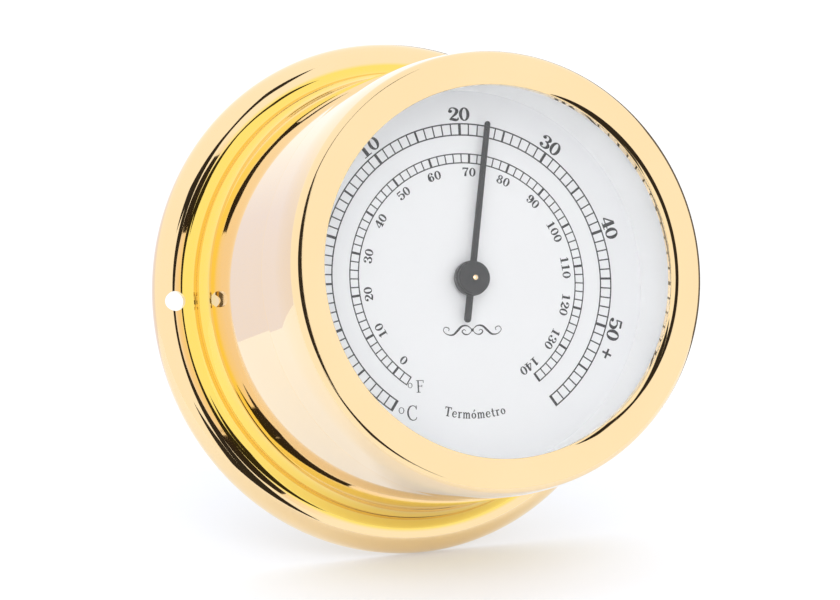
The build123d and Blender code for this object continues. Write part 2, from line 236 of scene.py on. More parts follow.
def set_normals(mesh, runs, holes=()):
    """Normals from the outline's own lines, and in a hole towards its middle."""
    tags = [0] * len(mesh.polygons)
    mesh.attributes["run"].data.foreach_get("value", tags)
    mesh.shade_smooth()
    normals = [None] * len(mesh.loops)
    for face in mesh.polygons:
        tag = tags[face.index]
        for loop in face.loop_indices:
            p = mesh.vertices[mesh.loops[loop].vertex_index].co
            if tag:
                radius = hypot(p.x, p.z) or 1
                across, forward = outward(runs[tag - 1], radius / MM, -p.y / MM)
                normals[loop] = (across * p.x / radius, -forward, across * p.z / radius)
            else:
                x, z, _ = min(holes, key=lambda h: hypot(p.x - h[0] * MM, p.z - h[1] * MM))
                normals[loop] = Vector((x * MM - p.x, 0, z * MM - p.z)).normalized()
    mesh.normals_split_custom_set(normals)
    mesh.attributes.remove(mesh.attributes["run"])


def case_side(line, thickness, outside):
    """One side of the shell's wall, from the back edge to the cove's front or the other way."""
    rim = (RIM_CENTRE_RADIUS, RIM_CENTRE_DEPTH)
    hollow = (HOLLOW_CENTRE_RADIUS, HOLLOW_CENTRE_DEPTH)
    cove = (COVE_CENTRE_RADIUS, COVE_CENTRE_DEPTH)
    rim_radius = RIM_ARC - thickness
    back_lean = 90 + degrees(asin(RIM_CENTRE_DEPTH / rim_radius))
    cove_lean = 270 - degrees(DRUM_LEAN)
    wall = RISER_RADIUS - thickness
    if outside:
        ridge_side = COVE_CENTRE_RADIUS - wall + RIDGE_ROUNDING
        ridge_reach = COVE_ARC + RIDGE_ROUNDING
        ridge = (wall - RIDGE_ROUNDING, COVE_CENTRE_DEPTH - sqrt(ridge_reach**2 - ridge_side**2))
        ridge_lean = degrees(atan2(ridge_side, COVE_CENTRE_DEPTH - ridge[1]))
        line.arc(rim, rim_radius, back_lean, 0, 3)
        line.arc(hollow, HOLLOW_ARC, 180, 270, 3)
        line.arc(ridge, RIDGE_ROUNDING, 90, ridge_lean, 8)
        line.arc(cove, COVE_ARC, 180 + ridge_lean, cove_lean, 3)
    else:
        cove_radius = COVE_ARC + thickness
        ridge_lean = degrees(asin((COVE_CENTRE_RADIUS - wall) / cove_radius))
        line.arc(cove, cove_radius, cove_lean, 180 + ridge_lean, 3)
        line.arc(hollow, HOLLOW_ARC + thickness, 270, 180, 6)
        line.arc(rim, rim_radius, 0, back_lean, 6)


def case_outline():
    start = on_arc(
        (RIM_CENTRE_RADIUS, RIM_CENTRE_DEPTH), RIM_ARC, 90 + degrees(asin(RIM_CENTRE_DEPTH / RIM_ARC))
    )
    line = Outline(*start)
    case_side(line, 0, True)
    line.line((DRUM_FRONT_RADIUS, SHOULDER_DEPTH - EDGE_BREAK), pieces=4)
    line.line((DRUM_FRONT_RADIUS - EDGE_BREAK, SHOULDER_DEPTH))
    line.line((NECK_RADIUS, SHOULDER_DEPTH), (NECK_RADIUS, NECK_END_DEPTH))
    line.line((NECK_RADIUS - SHEET, NECK_END_DEPTH), (NECK_RADIUS - SHEET, SHOULDER_DEPTH - SHEET))
    bore_radius = DRUM_FRONT_RADIUS - SHEET
    line.line((bore_radius, SHOULDER_DEPTH - 2 * SHEET), (bore_radius, COVE_END_DEPTH + BORE_TAPER))
    case_side(line, SHEET, False)
    return line.close()


def bezel_outline():
    line = Outline(DRUM_FRONT_RADIUS - EDGE_BREAK, SHOULDER_DEPTH)
    line.line((DRUM_FRONT_RADIUS, SHOULDER_DEPTH + EDGE_BREAK), (DRUM_FRONT_RADIUS, SKIRT_END_DEPTH))
    centre, arc, lean = (DRUM_FRONT_RADIUS - SKIRT_ARC, SKIRT_END_DEPTH), SKIRT_ARC, 90
    for next_arc, last_lean in BEZEL_ARCS:
        centre = on_arc(centre, arc - next_arc, lean)
        line.arc(centre, next_arc, lean, last_lean, 0.75 if next_arc > 10 else 3)
        lean, arc = last_lean, next_arc
    line.line((BEZEL_OPENING, line.points[-1][1] - 0.1), (BEZEL_OPENING, GLASS_DEPTH))
    line.line((GLASS_RADIUS, GLASS_DEPTH), (GLASS_RADIUS, NECK_END_DEPTH), (NECK_RADIUS, NECK_END_DEPTH))
    line.line((NECK_RADIUS, SHOULDER_DEPTH))
    return line.close()


holes = [(side * WALL_HOLE_CIRCLE, 0, WALL_HOLE_RADIUS) for side in (1, -1)]
case = turned("polished_case", case_outline(), holes=holes)
bezel = turned("polished_bezel", bezel_outline())

for piece, node in ((case, "case_shell"), (bezel, "bezel")):
    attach(piece, "case")
    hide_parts(node)


# ---------------------------------------------------------------- dial print
# letters and figures are strokes in a box one unit high: a bar is (x, y, x, y, width), a dot (x, y, radius),
# a ring (x, y, half width, half height, width at its sides, at its top), a pen (x, y, width) along a line
GLYPHS = {
    "0": [("ring", 0.31, 0.5, 0.31, 0.5, 0.15, 0.07)],
    "1": [
        ("bar", 0.3, 0.98, 0.3, 0.02, 0.17),
        ("pen", (0.3, 0.95, 0.07), (0.2, 0.87, 0.07), (0.08, 0.82, 0.05)),
        ("bar", 0.05, 0.03, 0.55, 0.03, 0.06),
    ],
    "2": [
        ("dot", 0.14, 0.72, 0.1),
        ("pen", (0.08, 0.72, 0.06), (0.15, 0.92, 0.07), (0.33, 0.965, 0.07), (0.5, 0.85, 0.13),
         (0.53, 0.68, 0.16), (0.42, 0.48, 0.13), (0.22, 0.28, 0.08), (0.08, 0.1, 0.06)),
        ("pen", (0.1, 0.12, 0.1), (0.25, 0.13, 0.16), (0.42, 0.07, 0.16), (0.55, 0.1, 0.1),
         (0.6, 0.24, 0.05)),
    ],
    "3": [
        ("dot", 0.13, 0.78, 0.095),
        ("dot", 0.13, 0.22, 0.095),
        ("pen", (0.07, 0.8, 0.05), (0.15, 0.93, 0.06), (0.32, 0.965, 0.07), (0.47, 0.87, 0.13),
         (0.5, 0.74, 0.15), (0.42, 0.58, 0.09), (0.27, 0.53, 0.06)),
        ("pen", (0.27, 0.53, 0.06), (0.44, 0.48, 0.1), (0.54, 0.3, 0.16), (0.46, 0.1, 0.12),
         (0.28, 0.035, 0.07), (0.12, 0.08, 0.06), (0.05, 0.22, 0.05)),
    ],
    "4": [
        ("bar", 0.42, 0.98, 0.04, 0.3, 0.07),
        ("bar", 0.44, 0.98, 0.44, 0.02, 0.16),
        ("bar", 0.02, 0.28, 0.64, 0.28, 0.07),
        ("bar", 0.24, 0.03, 0.64, 0.03, 0.06),
    ],
    "5": [
        ("bar", 0.1, 0.93, 0.5, 0.93, 0.12),
        ("bar", 0.12, 0.97, 0.1, 0.52, 0.06),
        ("pen", (0.1, 0.52, 0.05), (0.22, 0.62, 0.07), (0.38, 0.62, 0.09), (0.53, 0.48, 0.14),
         (0.54, 0.3, 0.16), (0.46, 0.1, 0.12), (0.28, 0.035, 0.07), (0.12, 0.08, 0.06), (0.05, 0.2, 0.05)),
        ("dot", 0.13, 0.2, 0.095),
    ],
    "6": [
        ("dot", 0.47, 0.8, 0.085),
        ("pen", (0.53, 0.84, 0.05), (0.42, 0.955, 0.06), (0.28, 0.95, 0.07), (0.14, 0.78, 0.13),
         (0.085, 0.5, 0.16), (0.1, 0.25, 0.16), (0.2, 0.07, 0.09), (0.32, 0.035, 0.07)),
        ("ring", 0.33, 0.31, 0.25, 0.3, 0.14, 0.07),
    ],
    "7": [
        ("bar", 0.06, 0.9, 0.58, 0.9, 0.14),
        ("bar", 0.06, 0.97, 0.06, 0.74, 0.05),
        ("pen", (0.58, 0.94, 0.06), (0.42, 0.62, 0.09), (0.32, 0.36, 0.14), (0.29, 0.0, 0.17)),
    ],
    "8": [("ring", 0.31, 0.745, 0.23, 0.25, 0.12, 0.065), ("ring", 0.31, 0.28, 0.29, 0.28, 0.15, 0.07)],
    "9": [
        ("dot", 0.15, 0.2, 0.085),
        ("pen", (0.09, 0.16, 0.05), (0.2, 0.045, 0.06), (0.34, 0.05, 0.07), (0.48, 0.22, 0.13),
         (0.535, 0.5, 0.16), (0.52, 0.75, 0.16), (0.42, 0.93, 0.09), (0.3, 0.965, 0.07)),
        ("ring", 0.29, 0.69, 0.25, 0.3, 0.14, 0.07),
    ],
    "+": [("bar", 0.06, 0.42, 0.66, 0.42, 0.1), ("bar", 0.36, 0.12, 0.36, 0.72, 0.1)],
    "-": [("bar", 0.06, 0.42, 0.66, 0.42, 0.1)],
    "°": [("ring", 0.31, 0.5, 0.31, 0.5, 0.09, 0.09)],
    "F": [
        ("bar", 0.2, 0.97, 0.2, 0.03, 0.1),
        ("bar", 0.05, 0.96, 0.62, 0.96, 0.05),
        ("bar", 0.6, 0.98, 0.6, 0.76, 0.04),
        ("bar", 0.2, 0.52, 0.48, 0.52, 0.045),
        ("bar", 0.48, 0.61, 0.48, 0.43, 0.04),
        ("bar", 0.05, 0.03, 0.36, 0.03, 0.05),
    ],
    "C": [
        ("pen", (0.62, 0.74, 0.04), (0.54, 0.91, 0.05), (0.38, 0.97, 0.05), (0.2, 0.9, 0.08),
         (0.08, 0.7, 0.1), (0.05, 0.5, 0.11), (0.08, 0.3, 0.1), (0.2, 0.1, 0.08),
         (0.38, 0.03, 0.05), (0.54, 0.08, 0.05), (0.62, 0.22, 0.04)),
        ("bar", 0.62, 0.98, 0.62, 0.72, 0.04),
    ],
    "T": [
        ("bar", 0.02, 0.95, 0.74, 0.95, 0.08),
        ("bar", 0.04, 0.98, 0.04, 0.76, 0.06),
        ("bar", 0.72, 0.98, 0.72, 0.76, 0.06),
        ("bar", 0.38, 0.95, 0.38, 0.03, 0.14),
        ("bar", 0.2, 0.03, 0.56, 0.03, 0.06),
    ],
    "e": [
        ("bar", 0.08, 0.35, 0.48, 0.35, 0.06),
        ("pen", (0.49, 0.36, 0.07), (0.43, 0.54, 0.08), (0.28, 0.61, 0.07), (0.13, 0.52, 0.1),
         (0.07, 0.31, 0.13), (0.13, 0.11, 0.11), (0.28, 0.03, 0.07), (0.42, 0.07, 0.06), (0.5, 0.17, 0.05)),
    ],
    "r": [
        ("bar", 0.14, 0.62, 0.14, 0.03, 0.12),
        ("bar", 0.0, 0.6, 0.16, 0.6, 0.06),
        ("bar", 0.0, 0.03, 0.3, 0.03, 0.06),
        ("pen", (0.17, 0.42, 0.06), (0.24, 0.56, 0.07), (0.34, 0.6, 0.09), (0.4, 0.54, 0.11)),
    ],
    "m": [
        ("bar", 0.14, 0.62, 0.14, 0.03, 0.11),
        ("bar", 0.44, 0.5, 0.44, 0.03, 0.11),
        ("bar", 0.74, 0.5, 0.74, 0.03, 0.11),
        ("bar", 0.0, 0.6, 0.16, 0.6, 0.06),
        ("bar", 0.02, 0.03, 0.26, 0.03, 0.06),
        ("bar", 0.33, 0.03, 0.55, 0.03, 0.06),
        ("bar", 0.63, 0.03, 0.86, 0.03, 0.06),
        ("pen", (0.17, 0.44, 0.06), (0.25, 0.57, 0.07), (0.36, 0.6, 0.09), (0.44, 0.48, 0.11)),
        ("pen", (0.47, 0.44, 0.06), (0.55, 0.57, 0.07), (0.66, 0.6, 0.09), (0.74, 0.48, 0.11)),
    ],
    "o": [("ring", 0.28, 0.31, 0.27, 0.31, 0.12, 0.06)],
    "ó": [
        ("ring", 0.28, 0.31, 0.27, 0.31, 0.12, 0.06),
        ("pen", (0.27, 0.73, 0.05), (0.35, 0.84, 0.09), (0.42, 0.93, 0.11)),
    ],
    "t": [
        ("bar", 0.17, 0.86, 0.17, 0.14, 0.11),
        ("bar", 0.02, 0.58, 0.36, 0.58, 0.06),
        ("pen", (0.17, 0.2, 0.11), (0.2, 0.06, 0.09), (0.3, 0.03, 0.07), (0.39, 0.13, 0.05)),
    ],
}
WIDTHS = {"T": 0.76, "e": 0.56, "r": 0.44, "m": 0.88, "o": 0.56, "ó": 0.56, "t": 0.42, "F": 0.64, "C": 0.64}
FIGURE_WIDTH = 0.62


def half_across(x0, y0, x1, y1, width):
    """Half this width, square to the way from one point to another."""
    long = hypot(x1 - x0, y1 - y0) or 1
    return -(y1 - y0) / long * width / 2, (x1 - x0) / long * width / 2


def bar(x0, y0, x1, y1, width):
    ux, uy = half_across(x0, y0, x1, y1, width)
    return [[(x0 - ux, y0 - uy), (x1 - ux, y1 - uy), (x1 + ux, y1 + uy), (x0 + ux, y0 + uy)]]


def smooth(a, b, c, d, t):
    """A Catmull-Rom curve's value between b and c."""
    return 0.5 * (2 * b + (c - a) * t + (2 * a - 5 * b + 4 * c - d) * t * t + (3 * b - a - 3 * c + d) * t**3)


def pen(*knots, pieces=5):
    """A stroke along a smooth line through the knots, its width changing from knot to knot."""
    ends = [knots[0], *knots, knots[-1]]
    line = []
    for i in range(1, len(ends) - 2):
        for k in range(pieces + (i == len(ends) - 3)):
            line.append([smooth(*values, k / pieces) for values in zip(*ends[i - 1 : i + 3])])
    sides = []
    for i, (x, y, width) in enumerate(line):
        before, after = line[max(i - 1, 0)], line[min(i + 1, len(line) - 1)]
        ux, uy = half_across(*before[:2], *after[:2], width)
        sides.append(((x - ux, y - uy), (x + ux, y + uy)))
    return [[low[0], high[0], high[1], low[1]] for low, high in zip(sides, sides[1:])]


def ring(x, y, across, high, side, top, pieces=28):
    """An oval ring that is thicker at its sides than at top and bottom."""
    def at(k, inset_x, inset_y):
        a = 2 * pi * k / pieces
        return (x + (across - inset_x) * cos(a), y + (high - inset_y) * sin(a))

    return [[at(k, 0, 0), at(k + 1, 0, 0), at(k + 1, side, top), at(k, side, top)] for k in range(pieces)]


def dot(x, y, radius, pieces=16):
    turns = [2 * pi * k / pieces for k in range(pieces)]
    return [[(x + radius * cos(a), y + radius * sin(a)) for a in turns]]


STROKES = {"bar": bar, "pen": pen, "ring": ring, "dot": dot}


def heavier(kind, numbers, bold):
    """A stroke's numbers with its widths multiplied."""
    if kind == "pen":
        return [(x, y, width * bold) for x, y, width in numbers]
    widths = 2 if kind == "ring" else 1
    return [*numbers[:-widths], *(width * bold for width in numbers[-widths:])]


def glyph(letter, middle, size, turn=0.0, wide=1.0, bold=1.0):
    """A letter's polygons, centred on middle, size millimetres high and turned by this angle."""
    across = WIDTHS.get(letter, FIGURE_WIDTH) / 2
    c, s = cos(turn), sin(turn)
    shapes = []
    for kind, *numbers in GLYPHS[letter]:
        for shape in STROKES[kind](*heavier(kind, numbers, bold)):
            at = [((x - across) * size * wide, (y - 0.5) * size) for x, y in shape]
            shapes.append([(middle[0] + c * u - s * v, middle[1] + s * u + c * v) for u, v in at])
    return shapes


SPECK = 1e-7  # a polygon smaller than this is left out


def joined(shapes):
    """The triangles that cover these overlapping polygons once."""
    verts, faces = [], []
    for shape in shapes:
        area = sum(p[0] * q[1] - q[0] * p[1] for p, q in zip(shape, shape[1:] + shape[:1]))
        if abs(area) < SPECK:
            continue
        faces.append(list(range(len(verts), len(verts) + len(shape)))[:: 1 if area > 0 else -1])
        verts += [Vector(p) for p in shape]
    points, _, triangles, _, _, owners = delaunay_2d_cdt(verts, [], faces, 1, SAME_POINT)
    return points, [t for t, owner in zip(triangles, owners) if owner]


def printed(name, groups, front, rear):
    """A solid layer of print; each group's polygons may overlap one another."""
    verts, faces = [], []
    for shapes in groups:
        points, triangles = joined(shapes)
        first, count = len(verts), len(points)
        verts += [(x * MM, -front * MM, z * MM) for x, z in points]
        verts += [(x * MM, -rear * MM, z * MM) for x, z in points]
        edges = {(t[i], t[(i + 1) % 3]) for t in triangles for i in range(3)}
        for t in triangles:
            faces.append([first + i for i in t])
            faces.append([first + count + i for i in reversed(t)])
        for p, q in sorted(edges):
            if (q, p) not in edges:
                faces.append([first + q, first + p, first + count + p, first + count + q])
    mesh = bpy.data.meshes.new(name)
    mesh.from_pydata(verts, [], faces)
    used = {i for f in faces for i in f}
    bm = bmesh.new()
    bm.from_mesh(mesh)
    bm.verts.ensure_lookup_table()
    bmesh.ops.delete(bm, geom=[v for i, v in enumerate(bm.verts) if i not in used], context="VERTS")
    bm.to_mesh(mesh)
    bm.free()
    return new_object(name, mesh)


def polar(radius, angle):
    return (radius * cos(angle), radius * sin(angle))


FIRST_CELSIUS, FIRST_MARK_TURN, TURN_PER_CELSIUS = -20, 235.25, 3.631


def celsius(value):
    """The angle from +X at which the dial marks this many degrees C."""
    return radians(FIRST_MARK_TURN - TURN_PER_CELSIUS * (value - FIRST_CELSIUS))


def fahrenheit(value):
    return celsius((value - 32) / 1.8)


def scale_band(angle_of, marks, inner, outer, line, pieces=240):
    """Two arcs joined by marks; marks are (value, width)."""
    first, last = angle_of(marks[0][0]), angle_of(marks[-1][0])
    shapes = []
    for low in (inner, outer - line):
        for k in range(pieces):
            a, b = (first + (last - first) * i / pieces for i in (k, k + 1))
            shapes.append([polar(low, a), polar(low, b), polar(low + line, b), polar(low + line, a)])
    for value, width in marks:
        a = angle_of(value)
        near, far = polar(inner, a), polar(outer, a)
        shapes += bar(*near, *far, width)
    return shapes


FIGURE_WEIGHT, WORD_WEIGHT = 1.2, 1.25


def numeral(text, angle, radius, size, wide, pitch):
    """Figures side by side on an arc, with their tops outward."""
    start = angle + (len(text) - 1) / 2 * pitch / radius
    figures = []
    for i, c in enumerate(text):
        a = start - i * pitch / radius
        figures.append(glyph(c, polar(radius, a), size, a - pi / 2, wide, FIGURE_WEIGHT))
    return figures


def celsius_mark(value):
    """The width of this degree's line: wider at each ten and each five."""
    if value % 10 == 0:
        return 0.5
    return 0.38 if value % 5 == 0 else 0.23


def fahrenheit_mark(value):
    return 0.42 if value % 10 == 0 else 0.21


# each band's inner and outer radius and its arcs' width
CELSIUS_BAND, FAHRENHEIT_BAND = (25.85, 28.12, 0.24), (20.85, 22.68, 0.21)
# each set of figures' radius, height, widening and pitch
CELSIUS_FIGURES, FAHRENHEIT_FIGURES = (29.75, 2.45, 1.34, 2.14), (19.35, 1.58, 1.25, 1.34)
SIGNS = (30.1, 3.1, 1.0, 1.9)
PLUS_TURN, MINUS_TURN = -27.6, 211

groups = [
    scale_band(celsius, [(v, celsius_mark(v)) for v in range(-20, 61)], *CELSIUS_BAND),
    scale_band(fahrenheit, [(v, fahrenheit_mark(v)) for v in range(-4, 141, 2)], *FAHRENHEIT_BAND),
]
for value in range(-10, 51, 10):
    groups += numeral(str(abs(value)), celsius(value), *CELSIUS_FIGURES)
groups += numeral("+", radians(PLUS_TURN), *SIGNS)
groups += numeral("-", radians(MINUS_TURN), *SIGNS)
for value in range(0, 141, 10):
    groups += numeral(str(value), fahrenheit(value), *FAHRENHEIT_FIGURES)
groups += [glyph("°", (-12.2, -18.7), 0.95, wide=1.5), glyph("F", (-10.35, -18.9), 2.25, wide=1.1)]
groups += [glyph("°", (-14.1, -23.1), 1.15, wide=1.5), glyph("C", (-12.1, -23.6), 2.75, wide=1.05)]

# the plain word for this instrument, on an arc below the middle
WORD, WORD_RADIUS, WORD_SIZE, LETTER_GAP = "Termómetro", 24.1, 1.68, 0.17
reach = [WIDTHS[c] * WORD_SIZE + LETTER_GAP for c in WORD]
along = -sum(reach) / 2
for c, width in zip(WORD, reach):
    angle = -pi / 2 + (along + width / 2) / WORD_RADIUS
    groups.append(glyph(c, polar(WORD_RADIUS, angle), WORD_SIZE, angle + pi / 2, bold=WORD_WEIGHT))
    along += width

# a plain scroll under the hub
SCROLL_X, SCROLL_Z = 0.35, -9.1
CURLS = (
    ((0.0, 0.0, 0.1), (0.9, 0.75, 0.2), (2.0, 0.7, 0.34), (2.9, -0.1, 0.4), (3.8, -0.8, 0.3),
     (4.9, -0.7, 0.16), (5.6, 0.0, 0.12), (5.2, 0.6, 0.14), (4.5, 0.35, 0.16), (4.6, -0.1, 0.1)),
    ((0.0, 0.0, 0.1), (0.7, -0.7, 0.16), (1.5, -0.75, 0.24), (2.0, -0.25, 0.2), (1.6, 0.1, 0.12),
     (1.25, -0.15, 0.08)),
)
scroll = []
for side in (1, -1):
    for curl in CURLS:
        scroll += pen(*[(SCROLL_X + side * x, SCROLL_Z + y, width) for x, y, width in curl])
scroll += dot(SCROLL_X, SCROLL_Z, 0.28)
groups.append(scroll)

PRINT_HEIGHT, PRINT_ROOT = 0.03, 0.02  # above the dial's face and below it
dial_print = printed("dial_print", groups, DIAL_DEPTH + PRINT_HEIGHT, DIAL_DEPTH - PRINT_ROOT)
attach(dial_print, "case")


# ---------------------------------------------------------------- pointer
disc_edge = 0.12
disc = Outline(HUB_RADIUS, DISC_FRONT)
disc.line((HUB_RADIUS, DISC_REAR), (DISC_RADIUS - disc_edge, DISC_REAR))
disc.arc((DISC_RADIUS - disc_edge, DISC_REAR + disc_edge), disc_edge, 180, 90, 15)
disc.arc((DISC_RADIUS - disc_edge, DISC_FRONT - disc_edge), disc_edge, 90, 0, 15)
pointer_disc = turned("pointer_disc", disc.close(), 128)

cap_edge = 0.18
cap = Outline(0.0, CAP_REAR)
cap.line((CAP_RADIUS, CAP_REAR))
cap.arc((CAP_RADIUS - cap_edge, CAP_FRONT - cap_edge), cap_edge, 90, 0, 12)
cap_floor = CAP_FRONT - 0.06  # of the countersink round the arbor's tip
cap.line((ARBOR_TIP_RADIUS + 0.1, CAP_FRONT), (ARBOR_TIP_RADIUS, cap_floor), (0.0, cap_floor))
pointer_cap = turned("satin_cap", cap.close(), 128)


def round_end(middle, width, inset, first_turn, pieces=24):
    """Half a circle's points, from this turn on, in half turns."""
    radius = width / 2 - inset
    turns = [pi * (k / pieces + first_turn) for k in range(pieces + 1)]
    return [(middle + radius * cos(a), radius * sin(a)) for a in turns]


def needle_loop(inset):
    """The needle's outline along +X, drawn in from its full size."""
    points = round_end(NEEDLE_REACH - NEEDLE_TIP_WIDTH / 2, NEEDLE_TIP_WIDTH, inset, -0.5)
    points.append((0, NEEDLE_HUB_WIDTH / 2 - inset))
    points += round_end(NEEDLE_TAIL_WIDTH / 2 - NEEDLE_TAIL, NEEDLE_TAIL_WIDTH, inset, 0.5)
    points.append((0, inset - NEEDLE_HUB_WIDTH / 2))
    return points


def needle(name):
    """The needle's bar, with round ends and a small bevel along its front edges."""
    c, s = cos(REST_ANGLE), sin(REST_ANGLE)
    layers = [(0, NEEDLE_REAR), (0, NEEDLE_FRONT - NEEDLE_BEVEL), (NEEDLE_BEVEL, NEEDLE_FRONT)]
    verts = []
    for inset, depth in layers:
        verts += [
            ((c * x - s * z) * MM, -depth * MM, (s * x + c * z) * MM) for x, z in needle_loop(inset)
        ]
    count = len(verts) // 3
    faces = [list(range(count))[::-1], list(range(2 * count, 3 * count))]
    for layer in (0, count):
        for i in range(count):
            j = (i + 1) % count
            faces.append([layer + i, layer + j, layer + count + j, layer + count + i])
    mesh = bpy.data.meshes.new(name)
    mesh.from_pydata(verts, [], faces)
    return new_object(name, mesh)


pointer_needle = needle("pointer_needle")

tip_dome = 0.16
shaft = Outline(0.0, ARBOR_REAR)
shaft.line((ARBOR_RADIUS - 0.1, ARBOR_REAR), (ARBOR_RADIUS, ARBOR_REAR + 0.1))
shaft.line((ARBOR_RADIUS, ARBOR_SHOULDER))
shaft.line((ARBOR_TIP_RADIUS, ARBOR_SHOULDER), (ARBOR_TIP_RADIUS, ARBOR_FRONT - tip_dome))
dome_radius = (ARBOR_TIP_RADIUS**2 + tip_dome**2) / (2 * tip_dome)
shaft.arc((0.0, ARBOR_FRONT - dome_radius), dome_radius, degrees(asin(ARBOR_TIP_RADIUS / dome_radius)), 0, 8)
arbor = turned("domed_arbor", shaft.close(), 48)

for piece, node, slot in (
    (pointer_disc, "pointer", "pointer_black"),
    (pointer_needle, "pointer", "pointer_black"),
    (pointer_cap, "pointer_cap", "pointer_black"),
    (arbor, "arbor", "plain_brass"),
):
    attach(piece, "pointer_shaft")
    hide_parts(node)


# ---------------------------------------------------------------- camera, floor, light
# the camera's place, solved from the circles of the flange, bezel and dial in the photograph
AZIMUTH, ELEVATION, ROLL = radians(-22.21), radians(-4.55), radians(-3.10)
DISTANCE, LENS = 821.35, 192.76


def heading(azimuth, elevation):
    """The direction from the part at these angles, in radians, from straight forward."""
    return Vector((sin(azimuth) * cos(elevation), -cos(azimuth) * cos(elevation), sin(elevation)))


back = heading(AZIMUTH, ELEVATION)
level = Vector((cos(AZIMUTH), sin(AZIMUTH), 0))
upright = level.cross(-back)
right = cos(ROLL) * level + sin(ROLL) * upright
up = cos(ROLL) * upright - sin(ROLL) * level
target = Vector((0, -17.6, 0)) - 1.33 * right - 1.89 * up

camera_data = bpy.data.cameras.new("camera")
camera_data.sensor_width = 36
camera_data.lens = LENS
camera_data.clip_start, camera_data.clip_end = 0.05, 20
camera = new_object("camera", camera_data)
place = Matrix((right, up, back)).transposed().to_4x4()
place.translation = (target + DISTANCE * back) * MM
camera.matrix_world = place
bpy.context.scene.camera = camera
bpy.context.scene.view_settings.view_transform = "Standard"

# a white room that turns slightly blue on one side
world = bpy.data.worlds.new("studio")
bpy.context.scene.world = world
world.use_nodes = True
tree = world.node_tree
facing = tree.nodes.new("ShaderNodeVectorMath")
facing.operation = "DOT_PRODUCT"
facing.inputs[1].default_value = (-0.378, 0.926, 0.0)  # what the drum's left side mirrors
tree.links.new(tree.nodes.new("ShaderNodeTexCoord").outputs["Generated"], facing.inputs[0])
sky = tree.nodes.new("ShaderNodeValToRGB")
white, blue = sky.color_ramp.elements
white.position, white.color = 0.84, (1, 1, 1, 1)
blue.position, blue.color = 0.95, (0.85, 0.84, 0.98, 1)
tree.links.new(facing.outputs["Value"], sky.inputs["Fac"])
tree.links.new(sky.outputs["Color"], tree.nodes["Background"].inputs["Color"])
tree.nodes["Background"].inputs["Strength"].default_value = 1.12

STAGE_DISTANCE = 900  # of the lamp and the cards
lamp = bpy.data.lights.new("soft_front", "AREA")
lamp.shape, lamp.size, lamp.energy = "DISK", 0.7, 4.5
soft_front = new_object("soft_front", lamp)
aim = Vector((-0.3, -0.94, 0.1)).normalized()
place = aim.to_track_quat("Z", "Y").to_matrix().to_4x4()
place.translation = (target + STAGE_DISTANCE * aim) * MM
soft_front.matrix_world = place
soft_front.visible_camera = soft_front.visible_glossy = False


def sheet(name, centre, normal, along, size, material):
    """A flat stage rectangle of (width, height) mm facing normal, its width along the given direction."""
    normal = normal.normalized()
    across = (along - along.dot(normal) * normal).normalized()
    rise = normal.cross(across)
    corners = [
        (centre + across * size[0] * i / 2 + rise * size[1] * j / 2) * MM
        for i, j in ((-1, -1), (1, -1), (1, 1), (-1, 1))
    ]
    mesh = bpy.data.meshes.new(name)
    mesh.from_pydata(corners, [], [(0, 1, 2, 3)])
    ob = new_object(name, mesh)
    mesh.materials.append(material)
    ob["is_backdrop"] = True
    return ob


def material(name, **values):
    """A material whose Principled sockets have these values, and its tree, shader and object coordinates."""
    mat = bpy.data.materials.new(name)
    mat.use_nodes = True
    shader = mat.node_tree.nodes["Principled BSDF"]
    for socket, value in values.items():
        shader.inputs[socket.replace("_", " ")].default_value = value
    coords = mat.node_tree.nodes.new("ShaderNodeTexCoord").outputs["Object"]
    return mat, mat.node_tree, shader, coords


floor_mat, *_ = material(
    "pale_floor", Base_Color=(0.69, 0.72, 0.79, 1), Roughness=0.8,
    Emission_Color=(1, 1, 1, 1), Emission_Strength=0.23,
)
FLOOR_TILT, FLOOR_SIZE, FLOOR_SETBACK = radians(11), (700, 130), 5
floor_normal = cos(FLOOR_TILT) * up + sin(FLOOR_TILT) * back
contact = Vector((0, -0.17, -FLANGE_RADIUS))
toward = (back - back.dot(floor_normal) * floor_normal).normalized()
sheet("floor", contact - FLOOR_SETBACK * toward, floor_normal, right, FLOOR_SIZE, floor_mat)

matt = {"Roughness": 1.0, "Specular_IOR_Level": 0.0}
black, *_ = material("black_card", Base_Color=(0.03, 0.026, 0.022, 1), **matt)
dim, *_ = material("dim_card", Base_Color=(0.13, 0.12, 0.11, 1), **matt)
# dark parts of the room, in front and on the right, that the brass mirrors: the (azimuth, elevation) of each
# one's middle, its (width, height), all in degrees, and its tone
CARDS = (
    (0, -11, 18, 56, black),
    (-6.5, 22, 29, 10, black),
    (-21, -34, 26, 32, black),
    (6, 34, 12, 15, black),
    (120, 3, 70, 62, dim),
)
for number, (azimuth, elevation, wide, high, tone) in enumerate(CARDS):
    a, e = radians(azimuth), radians(elevation)
    outward_at = heading(a, e)
    width, height = (2 * STAGE_DISTANCE * tan(radians(span / 2)) for span in (wide, high))
    middle, along = target + STAGE_DISTANCE * outward_at, Vector((cos(a), sin(a), 0))
    card = sheet(f"dark_card_{number}", middle, -outward_at, along, (width * cos(e), height), tone)
    card.visible_camera = card.visible_diffuse = card.visible_transmission = card.visible_shadow = False


# ---------------------------------------------------------------- materials
def noise(tree, coords, scale, detail=2.0):
    """A noise texture over the object's own coordinates, scale per metre."""
    node = tree.nodes.new("ShaderNodeTexNoise")
    node.inputs["Scale"].default_value = scale
    node.inputs["Detail"].default_value = detail
    tree.links.new(coords, node.inputs["Vector"])
    return node.outputs["Fac"]


NOISE_LOW, NOISE_HIGH = 0.3, 0.7  # where most of a noise's values lie


